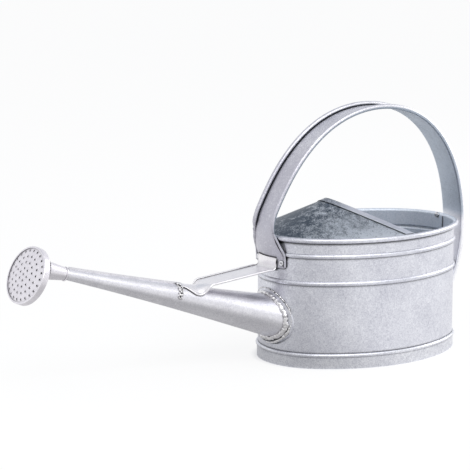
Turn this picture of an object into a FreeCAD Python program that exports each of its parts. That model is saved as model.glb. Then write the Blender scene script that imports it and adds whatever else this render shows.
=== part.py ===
import FreeCAD, Part
import math
import os
import Sketcher
from FreeCAD import Placement, Rotation, Vector

# A galvanised steel watering can: an oval body with two raised beads and a wired rim, half
# covered by a conical hood, a strap handle over the top, and a long tapered spout that a strut
# ties back to the handle. A push-fit rose sits on the end of the spout.
#
# Millimetres. The origin is the centre of the base on the ground, +Z is up and the spout points
# to -X. All but the rose, which is turned on its seat, is symmetric about the plane y = 0.
# Outlines of the body are four-arc ovals: every wall, bead, hoop and wire is the same oval, grown
# or shrunk by a fixed amount.

SIZES = [
    # alias, value, what it is
    ("half_length", 120.0, "half the body's length, outside the wall"),
    ("half_width", 86.0, "half the body's width, outside the wall"),
    ("end_radius", 69.0, "radius of the oval's two end arcs"),
    ("body_height", 146.0, "ground to the top of the rim"),
    ("gauge", 0.8, "thickness of the body, base, hood and spout sheet"),
    ("bead_drop", 20.7, "rim to the upper bead's middle"),
    ("bead_spacing", 30.3, "upper bead's middle to the lower one's"),
    ("bead_width", 5.2, "height of one bead"),
    ("bead_proud", 1.7, "how far a bead stands out of the wall"),
    ("rim_wire_radius", 2.0, "wire inside the rolled rim"),
    ("curl_end", 130.0, "where the rolled rim ends, degrees below its outer side"),
    ("seam_width", 6.0, "width of the lock seam inside the back wall"),
    ("hoop_gauge", 1.0, "thickness of the hoop round the foot"),
    ("hoop_height", 12.6, "height of the hoop's flat band"),
    ("hoop_bead", 4.3, "height of the hoop's rounded upper edge"),
    ("hoop_proud", 2.4, "how far the hoop's upper edge stands out"),
    ("base_rise", 6.0, "ground to the underside of the base plate"),
    ("base_flange", 5.0, "depth of the base plate's turned-down flange"),
    ("solder_leg", 1.6, "leg of a solder fillet"),
    ("hood_apex_x", -26.7, "where the hood's cone would come to a point"),
    ("hood_rise", 37.0, "height of that point over the rim"),
    ("hood_edge_x", 17.8, "where the hood's free edge meets the rim"),
    ("hood_edge_lean", 61.0, "lean of the free edge's plane, degrees from upright"),
    ("hood_hem", 5.5, "width of the hem along the free edge"),
    ("hood_skirt", 7.0, "depth of the hood's skirt inside the wall"),
    ("film", 0.05, "solder film between two curved sheets that lie on each other"),
    ("strap_gauge", 1.2, "thickness of the handle strap"),
    ("strap_roll", 5.6, "diameter of the strap's rolled edges"),
    ("strap_station", 6.0, "spacing of the sections that the strap is lofted through"),
    ("strap_clear", 0.4, "gap where the strap crosses the upper bead and the rim"),
    ("front_foot_width", 57.0, "strap width where it is riveted at the front"),
    ("neck_width", 40.5, "strap width where it leaves the rim"),
    ("back_width", 37.5, "strap width down the back"),
    ("front_foot_drop", 36.0, "rim to the lower end of the strap's front foot"),
    ("front_flat", 8.5, "length of the front foot at its full width"),
    ("neck_rise", 5.0, "height over the rim where the strap turns upright"),
    ("neck_edge", 2.4, "diameter of its edges where it crosses the rim"),
    ("neck_roll", 12.0, "length over which they then roll up"),
    ("neck_ease", 22.0, "length over which the strap loses the wall's curve at the front"),
    ("back_foot_z", 44.0, "lower end of the strap's back foot"),
    ("back_flat", 12.0, "length of the back foot whose edges aren't rolled"),
    ("back_landing", 18.0, "length of the back foot that lies on the wall"),
    ("back_gather", 8.0, "length over which its edges roll up above that"),
    ("back_ease", 49.0, "length over which the strap takes up the wall's curve at the back"),
    ("handle_rise", 130.0, "rim to the underside of the handle's highest point"),
    ("handle_crown_x", 17.0, "where the handle is highest"),
    ("handle_bulge", 14.6, "how far the handle stands out behind the body"),
    ("bulge_drop", 15.6, "rim down to where it stands out furthest"),
    ("rivet_shank", 1.8, "radius of a rivet's shank"),
    ("rivet_head", 3.4, "radius of a rivet's head"),
    ("rivet_dome", 1.9, "height of a rivet's head"),
    ("front_rivet_rise", 5.5, "front foot's lower end to the front rivets"),
    ("front_rivet_turn", 20.0, "front rivets, degrees round the end arc"),
    ("back_rivet_rise", 6.5, "back foot's lower end to the back rivets"),
    ("back_rivet_turn", 7.5, "back rivets, degrees round the end arc"),
    ("spout_root_z", 53.3, "height of the spout's axis at the body's front"),
    ("spout_angle", 16.4, "rise of the spout's axis, degrees"),
    ("root_wide", 29.5, "spout's half width at the body"),
    ("root_tall", 23.2, "spout's half height at the body"),
    ("waist_reach", 60.0, "body's front to the spout's waist, along the axis"),
    ("waist_wide", 19.6, "spout's half width at the waist"),
    ("waist_tall", 18.2, "spout's half height at the waist"),
    ("middle_reach", 120.0, "body's front to the round middle section"),
    ("middle_radius", 13.6, "spout's radius at the middle section"),
    ("seat_reach", 260.0, "body's front to the rose's seat"),
    ("seat_radius", 5.9, "spout's radius at the rose's seat"),
    ("tip_length", 18.0, "the rose's seat to the spout's open tip"),
    ("tip_radius", 5.1, "spout's radius at the tip"),
    ("ridge_width", 3.0, "width of the folded seam along the spout's top"),
    ("ridge_height", 2.2, "height of the folded seam over the spout"),
    ("flange_width", 6.3, "width of the collar soldered round the spout's root"),
    ("flange_gauge", 1.5, "thickness of that collar"),
    ("strut_gauge", 1.2, "thickness of the strut"),
    ("strut_hem", 2.6, "diameter of the strut's rolled edges"),
    ("strut_width", 37.0, "width of the strut at the handle"),
    ("saddle_width", 34.0, "width of the strut where it meets the spout"),
    ("saddle_tip", 15.0, "width of the strut's lower end"),
    ("strut_station", 3.5, "spacing of the sections that the strut is lofted through"),
    ("strut_tab", 14.0, "height of the tab that lies on the handle"),
    ("strut_top_rise", 11.0, "lower end of the handle's foot to the top of that tab"),
    ("saddle_reach", 123.0, "body's front to the strut's lower end, along the spout"),
    ("saddle_length", 21.0, "length of the strut's end that lies on the spout"),
    ("saddle_rest", 15.2, "height of the strut over the axis where it meets the spout"),
    ("strut_lean", 1.0, "lean of the tab, which follows the strap over the bead"),
    ("strut_bend", 5.0, "radius of the bend below the tab"),
    ("saddle_bend", 20.0, "radius of the bend on to the spout"),
    ("seat_gap", 0.08, "running clearance of the rose on its seat"),
    ("rose_gauge", 0.7, "thickness of the rose's sheet"),
    ("rose_turn", 43.7, "how far the rose is turned on its seat, degrees"),
    ("collar_length", 23.0, "length of the rose's collar"),
    ("collar_clear", 3.0, "end of the spout's folded seam to the collar's lip"),
    ("collar_end", 10.0, "collar's outer radius at the rose"),
    ("lip_radius", 0.9, "radius of the collar's rolled lip"),
    ("rose_radius", 31.3, "radius of the rose's rim"),
    ("rose_crimp", 2.0, "width of the crimp over the face's edge"),
    ("rose_band", 7.0, "depth of the rose's rim"),
    ("rose_reach", 16.3, "collar's end to the face's plane, along the axis"),
    ("rose_drop", 13.7, "how far the face's centre lies to one side of the axis"),
    ("rose_tilt", 10.8, "tilt of the face from square to the axis, degrees"),
    ("rose_dome", 3.4, "rise of the domed face"),
    ("rose_hole", 1.0, "radius of one hole in the face"),
    ("ring_step", 6.6, "distance between the rings of holes"),
]
ROSE_RINGS = (6, 12, 18, 24)  # holes in each ring round the middle one
# The handle's bow, as shares of its span and of its rise on each side of the crown, and the
# way it comes back to the wall, as a share of the bulge and of the drop to the foot.
BOW_FRONT = ((0.025, 0.21), (0.252, 0.59), (0.572, 0.878))
BOW_BACK = ((0.488, 0.896), (0.841, 0.554), (0.985, 0.11))
BOW_RETURN = (0.8, 0.43)
FLAT_EDGE = 1.15  # an edge that isn't rolled is a bead of this many gauges
HOOD_POINT = 0.02  # share of the hood's cone left off at its point, in front of the free edge
LIP_ENDS = (85, 125)  # where the collar's sheet leaves its rolled lip, degrees
CLOSE = 1e-6

document = FreeCAD.newDocument("WateringCan")


# ---------------------------------------------------------------- sizes and formulas

class Dim:
    """A number together with the sheet formula that gives it."""

    def __init__(self, number, formula):
        self.number = float(number)
        self.formula = formula

    def __add__(self, other):
        other = as_dim(other)
        return Dim(self.number + other.number, f"({self.formula} + {other.formula})")

    def __sub__(self, other):
        other = as_dim(other)
        return Dim(self.number - other.number, f"({self.formula} - {other.formula})")

    def __mul__(self, other):
        other = as_dim(other)
        return Dim(self.number * other.number, f"({self.formula} * {other.formula})")

    def __truediv__(self, other):
        other = as_dim(other)
        return Dim(self.number / other.number, f"({self.formula} / {other.formula})")

    def __neg__(self):
        return Dim(-self.number, f"(0 - {self.formula})")


def as_dim(value):
    return value if isinstance(value, Dim) else Dim(value, repr(float(value)))


def sine(angle):
    return Dim(math.sin(math.radians(angle.number)), f"sin({angle.formula} * 1deg)")


def cosine(angle):
    return Dim(math.cos(math.radians(angle.number)), f"cos({angle.formula} * 1deg)")


class Sizes:
    """The driving sizes: size.gauge is the sheet's cell of that alias, as a Dim."""


def write_sheet():
    sheet = document.addObject("Spreadsheet::Sheet", "Sizes")
    for row, (alias, value, note) in enumerate(SIZES, start=1):
        sheet.set(f"A{row}", alias)
        sheet.set(f"B{row}", str(value))
        sheet.set(f"C{row}", note)
        sheet.setAlias(f"B{row}", alias)
    document.recompute()
    sizes = Sizes()
    for alias, _, _ in SIZES:
        setattr(sizes, alias, Dim(sheet.get(alias), f"Sizes.{alias}"))
    return sizes


size = write_sheet()
ZERO = as_dim(0)


def bind(thing, **values):
    """Set properties of a document object and bind them to the sheet."""
    for name, value in values.items():
        setattr(thing, name, value.number)
        thing.setExpression(name, value.formula)


def bind_placement(thing, base, axis=(0, 0, 1), angle=ZERO):
    """Place a document object: a base point of three Dims, and a turn about a fixed axis."""
    point = Vector(*(part.number for part in base))
    thing.Placement = Placement(point, Rotation(Vector(*axis), angle.number))
    for name, part in zip("xyz", base):
        thing.setExpression(f".Placement.Base.{name}", part.formula)
    thing.setExpression(".Placement.Rotation.Angle", f"{angle.formula} * 1deg")


# ---------------------------------------------------------------- sketches and solids

def new_body(name):
    return document.addObject("PartDesign::Body", name)


def sketch_on(body, name, role):
    plane = next(item for item in body.Origin.OriginFeatures if item.Role == role)
    sketch = body.newObject("Sketcher::SketchObject", name)
    sketch.AttachmentSupport = (plane, [""])
    sketch.MapMode = "FlatFace"
    return sketch


def constrain(sketch, kind, element, vertex, value):
    """Fix one coordinate of a sketch point, measured from the sketch's origin."""
    index = sketch.addConstraint(
        Sketcher.Constraint(kind, -1, 1, element, vertex, value.number))
    sketch.setExpression(f"Constraints[{index}]", value.formula)


def arc_through(centre, start, end):
    """The anticlockwise arc of a circle from start to end."""
    middle = Vector(centre[0].number, centre[1].number, 0)
    angles = [math.atan2(p[1].number - middle.y, p[0].number - middle.x) for p in (start, end)]
    radius = math.hypot(start[0].number - middle.x, start[1].number - middle.y)
    if angles[1] <= angles[0]:
        angles[1] += 2 * math.pi
    return Part.ArcOfCircle(Part.Circle(middle, Vector(0, 0, 1), radius), *angles)


def outline(sketch, corners, arcs=None):
    """Draw a closed outline; arcs gives {side: (centre, turns anticlockwise)}."""
    arcs = arcs or {}
    ends = []
    for side, start in enumerate(corners):
        end = corners[(side + 1) % len(corners)]
        if side in arcs:
            centre, anticlockwise = arcs[side]
            pair = (start, end) if anticlockwise else (end, start)
            element = sketch.addGeometry(arc_through(centre, *pair))
            ends.append((element, 1, 2) if anticlockwise else (element, 2, 1))
            upright = abs(end[1].number - start[1].number) > abs(end[0].number - start[0].number)
            kind, value = ("DistanceX", centre[0]) if upright else ("DistanceY", centre[1])
            constrain(sketch, kind, element, 3, value)
        else:
            points = [Vector(p[0].number, p[1].number, 0) for p in (start, end)]
            ends.append((sketch.addGeometry(Part.LineSegment(*points)), 1, 2))
    for side, start in enumerate(corners):
        element, first, last = ends[side]
        follower, follower_first, _ = ends[(side + 1) % len(corners)]
        sketch.addConstraint(
            Sketcher.Constraint("Coincident", element, last, follower, follower_first))
        constrain(sketch, "DistanceX", element, first, start[0])
        constrain(sketch, "DistanceY", element, first, start[1])
    return sketch


def circle(sketch, centre, radius):
    middle = Vector(centre[0].number, centre[1].number, 0)
    element = sketch.addGeometry(Part.Circle(middle, Vector(0, 0, 1), radius.number))
    constrain(sketch, "DistanceX", element, 3, centre[0])
    constrain(sketch, "DistanceY", element, 3, centre[1])
    index = sketch.addConstraint(Sketcher.Constraint("Radius", element, radius.number))
    sketch.setExpression(f"Constraints[{index}]", radius.formula)
    return sketch


END_CENTRE = size.half_length - size.end_radius
SIDE_RADIUS = ((size.half_length * size.half_length + size.half_width * size.half_width
                - size.half_length * size.end_radius * 2)
               / ((size.half_width - size.end_radius) * 2))
SIDE_CENTRE = SIDE_RADIUS - size.half_width


def oval(sketch, growth=ZERO):
    """The body's four-arc oval grown outwards, starting at its +X end."""
    share = (size.end_radius + growth) / (SIDE_RADIUS - size.end_radius)
    across = END_CENTRE + share * END_CENTRE
    up = share * SIDE_CENTRE
    corners = [(size.half_length + growth, ZERO), (across, up), (-across, up),
               (-across, -up), (across, -up)]
    right, left = (END_CENTRE, ZERO), (-END_CENTRE, ZERO)
    arcs = {0: (right, True), 1: ((ZERO, -SIDE_CENTRE), True), 2: (left, True),
            3: ((ZERO, SIDE_CENTRE), True), 4: (right, True)}
    return outline(sketch, corners, arcs)


def round_the_body(name, draw):
    """Carry a section drawn in the plane y = 0 once round the oval."""
    body = new_body(name)
    path = oval(sketch_on(body, f"{name}_path", "XY_Plane"))
    section = draw(sketch_on(body, f"{name}_section", "XZ_Plane"))
    pipe = body.newObject("PartDesign::AdditivePipe", f"{name}_pipe")
    pipe.Profile = section
    pipe.Spine = path
    return body


def oval_slab(name, growth, low, high):
    """A solid oval between two heights."""
    body = new_body(name)
    pad = body.newObject("PartDesign::Pad", f"{name}_pad")
    pad.Profile = oval(sketch_on(body, f"{name}_outline", "XY_Plane"), growth)
    bind(pad, Length=high - low)
    bind_placement(body, (ZERO, ZERO, low))
    return body


def turned(name, corners, arcs=None):
    """Turn an outline, drawn as (radius, height), about its own upright axis."""
    body = new_body(name)
    section = outline(sketch_on(body, f"{name}_section", "XZ_Plane"), corners, arcs)
    revolution = body.newObject("PartDesign::Revolution", f"{name}_turn")
    revolution.Profile = section
    revolution.ReferenceAxis = (section, ["V_Axis"])
    revolution.Angle = 360
    return body


def boolean(kind, name, base, tool):
    thing = document.addObject(f"Part::{kind}", name)
    thing.Base = base
    thing.Tool = tool
    return thing


def cut(name, base, *tools):
    for number, tool in enumerate(tools, start=1):
        last = number == len(tools)
        base = boolean("Cut", name if last else f"{name}_cut_{number}", base, tool)
    return base


def shaped(name, shape):
    """A document object whose shape is worked out from the sheet's sizes."""
    thing = document.addObject("Part::Feature", name)
    thing.Shape = shape
    return thing


# ---------------------------------------------------------------- body

CURL_RADIUS = size.rim_wire_radius + size.gauge
INSIDE = size.half_length - size.gauge
CURL_CENTRE = (INSIDE + CURL_RADIUS, size.body_height - CURL_RADIUS)
HIGH_BEAD_Z = size.body_height - size.bead_drop
LOW_BEAD_Z = HIGH_BEAD_Z - size.bead_spacing
BEAD_RADIUS = ((size.bead_width * size.bead_width / 4 + size.bead_proud * size.bead_proud)
               / (size.bead_proud * 2))


def wall_section(sketch):
    """The sheet in section: up the outside, round the wire, and down the inside."""
    def at_curl_end(radius):
        return (CURL_CENTRE[0] + radius * cosine(size.curl_end),
                CURL_CENTRE[1] - radius * sine(size.curl_end))

    half = size.bead_width / 2
    corners = [(size.half_length, ZERO)]
    arcs = {}
    for bead_z in (LOW_BEAD_Z, HIGH_BEAD_Z):
        corners.append((size.half_length, bead_z - half))
        centre = (size.half_length + size.bead_proud - BEAD_RADIUS, bead_z)
        arcs[len(corners) - 1] = (centre, True)
        corners.append((size.half_length, bead_z + half))
    corners.append((size.half_length, CURL_CENTRE[1]))
    arcs[len(corners) - 1] = (CURL_CENTRE, False)
    corners.append(at_curl_end(size.rim_wire_radius))
    corners.append(at_curl_end(CURL_RADIUS))
    arcs[len(corners) - 1] = (CURL_CENTRE, True)
    corners.append((INSIDE, CURL_CENTRE[1]))
    for bead_z in (HIGH_BEAD_Z, LOW_BEAD_Z):
        corners.append((INSIDE, bead_z + half))
        arcs[len(corners) - 1] = ((INSIDE + size.bead_proud - BEAD_RADIUS, bead_z), False)
        corners.append((INSIDE, bead_z - half))
    corners.append((INSIDE, ZERO))
    return outline(sketch, corners, arcs)


def hoop_section(sketch):
    """A flat band with a rounded upper edge."""
    edge = size.half_length + size.hoop_proud - size.hoop_bead / 2
    band = size.half_length + size.hoop_gauge
    top = size.hoop_height + size.hoop_bead
    corners = [(size.half_length, ZERO), (band, ZERO), (band, size.hoop_height),
               (edge, size.hoop_height), (edge, top), (size.half_length, top)]
    centre = (edge, size.hoop_height + size.hoop_bead / 2)
    return outline(sketch, corners, {3: (centre, True)})


def base_solder_section(sketch):
    floor = size.base_rise + size.gauge
    corners = [(INSIDE - size.solder_leg, floor), (INSIDE, floor),
               (INSIDE, floor + size.solder_leg)]
    return outline(sketch, corners)


def make_base_plate():
    plate = oval_slab("base_plate", -size.gauge, size.base_rise - size.base_flange,
                      size.base_rise + size.gauge)
    recess = plate.newObject("PartDesign::Pocket", "base_plate_recess")
    recess.Profile = oval(sketch_on(plate, "base_plate_hollow", "XY_Plane"), -size.gauge * 2)
    recess.Reversed = True
    bind(recess, Length=size.base_flange)
    return plate


def make_lock_seam():
    """The folded seam up the inside of the back wall."""
    seam = document.addObject("Part::Box", "lock_seam")
    foot = size.base_rise + size.gauge + size.solder_leg
    bind(seam, Length=size.gauge * 2, Width=size.seam_width, Height=CURL_CENTRE[1] - foot)
    bind_placement(seam, (INSIDE - size.gauge * 1.5, -size.seam_width / 2, foot))
    return seam


# ---------------------------------------------------------------- hood

PAST_THE_CAN = size.half_length * 4  # further than anything here reaches


def oval_wire(growth, height, towards_x, share):
    """The grown oval at a height, shrunk by a share towards the point (towards_x, 0)."""
    def moved(x, y):
        return Vector(towards_x + share * (x - towards_x), share * y, height)

    turn = math.atan2(SIDE_CENTRE.number, END_CENTRE.number)
    ends = size.end_radius.number + growth
    sides = SIDE_RADIUS.number + growth
    arcs = ((END_CENTRE.number, 0, ends, -turn, turn),
            (0, -SIDE_CENTRE.number, sides, turn, math.pi - turn),
            (-END_CENTRE.number, 0, ends, math.pi - turn, math.pi + turn),
            (0, SIDE_CENTRE.number, sides, math.pi + turn, 2 * math.pi - turn))
    edges = []
    for x, y, radius, first, last in arcs:
        steps = (first, (first + last) / 2, last)
        points = [moved(x + radius * math.cos(a), y + radius * math.sin(a)) for a in steps]
        edges.append(Part.Arc(*points).toShape())
    return Part.Wire(edges)


def hood_cone(lift):
    """The solid cone under the hood's sheet, raised by lift, without its very point."""
    inside = -size.gauge.number
    foot = size.body_height.number - size.gauge.number + lift
    apex = size.hood_apex_x.number
    low = oval_wire(inside, foot, apex, 1)
    high = oval_wire(inside, foot + size.hood_rise.number * (1 - HOOD_POINT), apex, HOOD_POINT)
    return Part.makeLoft([low, high], True, True)


def hood_front(setback):
    """Everything in front of the free edge's leaning plane, moved forwards by setback."""
    lean = math.radians(size.hood_edge_lean.number)
    rim = size.body_height.number
    top = rim + size.hood_rise.number * 2
    reach = PAST_THE_CAN.number

    def edge_at(height):
        shift = setback / math.cos(lean)
        return size.hood_edge_x.number - shift - math.tan(lean) * (height - rim)

    corners = [Vector(-reach, -reach, 0), Vector(edge_at(0), -reach, 0),
               Vector(edge_at(top), -reach, top), Vector(-reach, -reach, top)]
    face = Part.Face(Part.makePolygon(corners + corners[:1]))
    return face.extrude(Vector(0, reach * 2, 0))


def make_hood():
    """A bent sheet cone with a hemmed free edge, and a skirt that fits inside the wall."""
    gauge = size.gauge.number
    foot = size.body_height.number - gauge
    skirt = size.hood_skirt.number
    rings = [Part.Face(oval_wire(-gauge * layer, foot - skirt, 0, 1)) for layer in (1, 2)]
    ring = rings[0].cut(rings[1]).extrude(Vector(0, 0, skirt))
    cone = hood_cone(0)
    sheet = cone.cut(hood_cone(-gauge)).fuse(ring).common(hood_front(0))
    upright = hood_front(0).cut(hood_front(size.hood_hem.number))
    hem = hood_cone(gauge).cut(cone).common(upright)
    return shaped("hood", sheet.fuse(hem).removeSplitter())


def hood_solder_section(sketch):
    """The fillet that closes the lower edge of the hood's skirt against the wall."""
    edge = size.body_height - size.gauge - size.hood_skirt
    corners = [(INSIDE - size.gauge, edge), (INSIDE, edge - size.solder_leg), (INSIDE, edge)]
    return outline(sketch, corners)


def make_hood_solder():
    ring = round_the_body("hood_solder_ring", hood_solder_section)
    return boolean("Common", "hood_solder", ring, shaped("hood_span", hood_front(0)))


# ---------------------------------------------------------------- bent strips

def strip_section(place, width, gauge, roll):
    """A strip's section with both edges rolled outwards, as one closed wire."""
    radius = roll / 2
    centre = width / 2 - radius
    web = math.sqrt(radius ** 2 - (gauge - radius) ** 2)
    web_angle = math.atan2(gauge - radius, -web)
    stops = [-math.pi / 2, 0, math.pi / 2, web_angle % (2 * math.pi)]

    def on_roll(side, angle):
        return place(side * (centre + radius * math.cos(angle)),
                     radius + radius * math.sin(angle))

    def roll_arcs(side):
        return [Part.Arc(on_roll(side, a), on_roll(side, (a + b) / 2), on_roll(side, b)).toShape()
                for a, b in zip(stops, stops[1:])]

    def across(height, half):
        ends = [place(-half, height), place(half, height)]
        middle = place(0, height)
        if middle.distanceToLine(ends[0], ends[1] - ends[0]) < CLOSE:
            return Part.LineSegment(*ends).toShape()
        return Part.Arc(ends[0], middle, ends[1]).toShape()

    edges = [across(0, centre)] + roll_arcs(1) + [across(gauge, centre - web)] + roll_arcs(-1)
    return Part.Wire(Part.__sortEdges__(edges))


def between(marks, distance):
    """Values at a distance along a path, eased between marks of (distance, values)."""
    for (first, low), (second, high) in zip(marks, marks[1:]):
        if distance <= second:
            share = max(0.0, (distance - first) / (second - first))
            eased = share * share * (3 - share * 2)
            return [a + (b - a) * eased for a, b in zip(low, high)]
    return marks[-1][1]


def bent_strip(stations, gauge):
    """Loft a strip with rolled edges through stations in the plane y = 0.

    Each station is (point, out, width, roll, bend): out is the side that the edges roll to,
    and bend is 1 / the radius of whatever the strip is wrapped on there.
    """
    sections = []
    for point, out, width, roll, bend in stations:

        def place(y, height, point=point, out=out, bend=bend):
            if abs(bend) > CLOSE:
                turn = y * bend
                y, height = ((1 / bend + height) * math.sin(turn),
                             (1 / bend + height) * math.cos(turn) - 1 / bend)
            return point + Vector(0, y, 0) + out * height

        sections.append(strip_section(place, width, gauge, roll))
    return Part.makeLoft(sections, True, False)


def rounded(points, radii):
    """A polyline in the plane y = 0 with its inner corners rounded."""
    edges = []
    start = points[0]
    for before, corner, after, radius in zip(points, points[1:], points[2:], radii):
        arriving = (corner - before).normalize()
        leaving = (after - corner).normalize()
        turn = arriving.getAngle(leaving)
        trim = radius * math.tan(turn / 2)
        first, last = corner - arriving * trim, corner + leaving * trim
        bisector = (leaving - arriving).normalize()
        middle = corner + bisector * radius * (1 / math.cos(turn / 2) - 1)
        edges.append(Part.LineSegment(start, first).toShape())
        edges.append(Part.Arc(first, middle, last).toShape())
        start = last
    edges.append(Part.LineSegment(start, points[-1]).toShape())
    return Part.Wire(edges)


def along_path(shape, spacing):
    """Even stations along an open path, as (distance, point, direction)."""
    count = max(2, round(shape.Length / spacing))
    points = shape.discretize(Number=count + 1)
    ahead = points[1:] + [points[-1] * 2 - points[-2]]
    behind = [points[0] * 2 - points[1]] + points[:-1]
    return [(shape.Length * number / count, point, (after - before).normalize())
            for number, (point, before, after) in enumerate(zip(points, behind, ahead))]


def strip_along(shape, spacing, marks, gauge, side):
    """Loft a strip along a path whose rolled edges lie to one side of it."""
    stations = []
    for distance, point, direction in along_path(shape, spacing):
        out = direction.cross(Vector(0, side, 0))
        stations.append((point, out, *between(marks, distance)))
    return bent_strip(stations, gauge)


def straight_ended(points):
    """A path whose first and last sides are straight, and a smooth curve between them."""
    inner = points[1:-1]
    times = [0.0]
    for before, after in zip(inner, inner[1:]):
        times.append(times[-1] + before.distanceToPoint(after))
    curve = Part.BSplineCurve()
    curve.interpolate(Points=inner, Parameters=times)
    ends = [Part.LineSegment(*pair).toShape() for pair in (points[:2], points[-2:])]
    return Part.Wire([ends[0], curve.toShape(), ends[1]])


# ---------------------------------------------------------------- handle

FRONT_FOOT_Z = size.body_height - size.front_foot_drop
STRAP_STACK = size.strap_gauge + size.film * 2  # the strap's foot, with a film on each side


def handle_path():
    """The strap's inner side, from the front foot up over the rim and down to the back foot."""
    front = -(size.half_length + size.film).number
    back = -front
    rim = size.body_height.number
    rise = size.handle_rise.number
    crown_x = size.handle_crown_x.number
    clear = size.strap_clear.number
    over_bead = front - size.bead_proud.number - clear
    over_rim = front - (CURL_RADIUS * 2 - size.gauge).number - clear
    bulge = size.handle_bulge.number
    bulge_z = rim - size.bulge_drop.number
    front_foot = FRONT_FOOT_Z.number
    back_foot = size.back_foot_z.number
    landing = size.back_landing.number
    return_out, return_down = BOW_RETURN

    points = [(front, front_foot), (front, front_foot + size.front_flat.number),
              (over_bead, HIGH_BEAD_Z.number), (over_rim, rim - CURL_RADIUS.number),
              (over_rim + clear, rim + size.neck_rise.number)]
    points += [(front + along * (crown_x - front), rim + up * rise) for along, up in BOW_FRONT]
    points += [(crown_x, rim + rise)]
    points += [(crown_x + along * (back + bulge - crown_x), rim + up * rise)
               for along, up in BOW_BACK]
    points += [(back + bulge, bulge_z),
               (back + return_out * bulge, bulge_z - return_down * (bulge_z - back_foot - landing)),
               (back, back_foot + landing), (back, back_foot)]
    return straight_ended([Vector(x, 0, z) for x, z in points])


def make_strap():
    path = handle_path()
    length = path.Length
    gauge = size.strap_gauge.number
    flat = FLAT_EDGE * gauge
    roll = size.strap_roll.number
    hug = 1 / (size.end_radius + size.film).number
    foot = size.front_foot_width.number
    neck = size.neck_width.number
    back = size.back_width.number
    rim = size.front_foot_drop.number
    landing = length - size.back_landing.number
    marks = [
        # distance, (width, roll, curve)
        (0, (foot, flat, hug)),
        (size.front_flat.number, (foot, flat, hug)),
        (rim, (neck, size.neck_edge.number, hug)),
        (rim + size.neck_roll.number, (neck, roll, hug / 2)),
        (rim + size.neck_ease.number, (neck, roll, 0)),
        (landing - size.back_ease.number, (back, roll, 0)),
        (landing - size.back_gather.number, (back, roll, hug)),
        (length - size.back_flat.number, (back, flat, hug)),
        (length, (back, flat, hug)),
    ]
    return shaped("strap_blank", strip_along(path, size.strap_station.number, marks, gauge, 1))


def make_rivets(name, arc_centre, height, turn):
    """A pair of rivets, one each side of the plane y = 0, square to the end arc's wall."""
    inside = size.end_radius - size.gauge
    outside = size.end_radius + STRAP_STACK
    shank, head, dome = size.rivet_shank, size.rivet_head, size.rivet_dome
    body = new_body(f"{name}_one")
    section = sketch_on(body, f"{name}_section", "XZ_Plane")
    corners = [(inside - size.gauge, ZERO), (outside + dome, ZERO), (outside, head),
               (outside, shank), (inside, shank), (inside, head), (inside - size.gauge, head)]
    dome_radius = (dome * dome + head * head) / (dome * 2)
    outline(section, corners, {1: ((outside + dome - dome_radius, ZERO), True)})
    revolution = body.newObject("PartDesign::Revolution", f"{name}_turn")
    revolution.Profile = section
    revolution.ReferenceAxis = (section, ["H_Axis"])
    revolution.Angle = 360
    bind_placement(body, (arc_centre, ZERO, height), angle=turn)
    other = document.addObject("Part::Mirroring", f"{name}_other")
    other.Source = body
    other.Normal = Vector(0, 1, 0)
    pair = document.addObject("Part::Compound", name)
    pair.Links = [body, other]
    return pair


# ---------------------------------------------------------------- spout

def along_spout(reach, lift=ZERO):
    """A point on the spout's axis, or lifted square off it in the plane y = 0."""
    return (-size.half_length - reach * cosine(size.spout_angle) + lift * sine(size.spout_angle),
            ZERO,
            size.spout_root_z + reach * sine(size.spout_angle) + lift * cosine(size.spout_angle))


def spout_loft(name, growth):
    """The spout's outer skin as a solid, grown by growth, standing on its own axis."""
    deep = -size.root_tall
    slope_wide = (size.root_wide - size.waist_wide) / size.waist_reach
    slope_tall = (size.root_tall - size.waist_tall) / size.waist_reach
    sections = [
        (deep, size.root_wide - deep * slope_wide, size.root_tall - deep * slope_tall),
        (ZERO, size.root_wide, size.root_tall),
        (size.waist_reach, size.waist_wide, size.waist_tall),
        (size.middle_reach, size.middle_radius, size.middle_radius),
        (size.seat_reach, size.seat_radius, size.seat_radius),
        (size.seat_reach + size.tip_length, size.tip_radius, size.tip_radius),
    ]
    ellipses = []
    for number, (reach, wide, tall) in enumerate(sections):
        ellipse = document.addObject("Part::Ellipse", f"{name}_{number}")
        bind(ellipse, MajorRadius=wide + growth, MinorRadius=tall + growth)
        bind_placement(ellipse, (ZERO, ZERO, reach), angle=as_dim(90))
        ellipses.append(ellipse)
    loft = document.addObject("Part::Loft", name)
    loft.Sections = ellipses
    loft.Solid = True
    loft.Ruled = False
    bind_placement(loft, along_spout(ZERO), axis=(0, 1, 0), angle=size.spout_angle - 90)
    return loft


def spout_box(name, reach, half_width, depth, length):
    """A box standing on the upper half of the spout's axis."""
    box = document.addObject("Part::Box", name)
    bind(box, Length=depth, Width=half_width * 2, Height=length)
    base = along_spout(reach)
    bind_placement(box, (base[0], -half_width, base[2]), axis=(0, 1, 0),
                   angle=size.spout_angle - 90)
    return box


def make_ridge(spout_skin_raised):
    """The folded seam along the top of the spout, from the strut out to the rose."""
    start = size.saddle_reach - size.ridge_width
    stop = size.seat_reach - size.collar_clear
    block = spout_box("ridge_block", start, size.ridge_width / 2, size.root_tall, stop - start)
    return boolean("Common", "spout_ridge", spout_skin_raised, block)


def make_flange(grown_skin, skin, envelope):
    """The collar soldered flat on the wall round the spout's root."""
    middle = size.spout_root_z
    reach = size.root_wide + size.flange_width
    slab = oval_slab("flange_slab", size.flange_gauge, middle - reach, middle + reach)
    return cut("spout_flange", boolean("Common", "flange_blank", slab, grown_skin),
               envelope, skin)


def make_spout_solder(grown_skin, skin, envelope, flange):
    middle = size.spout_root_z
    reach = size.root_wide + size.flange_width
    slab = oval_slab("spout_solder_slab", size.flange_gauge + size.solder_leg,
                     middle - reach, middle + reach)
    return cut("spout_solder", boolean("Common", "spout_solder_blank", slab, grown_skin),
               envelope, skin, flange)


# ---------------------------------------------------------------- strut

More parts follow.
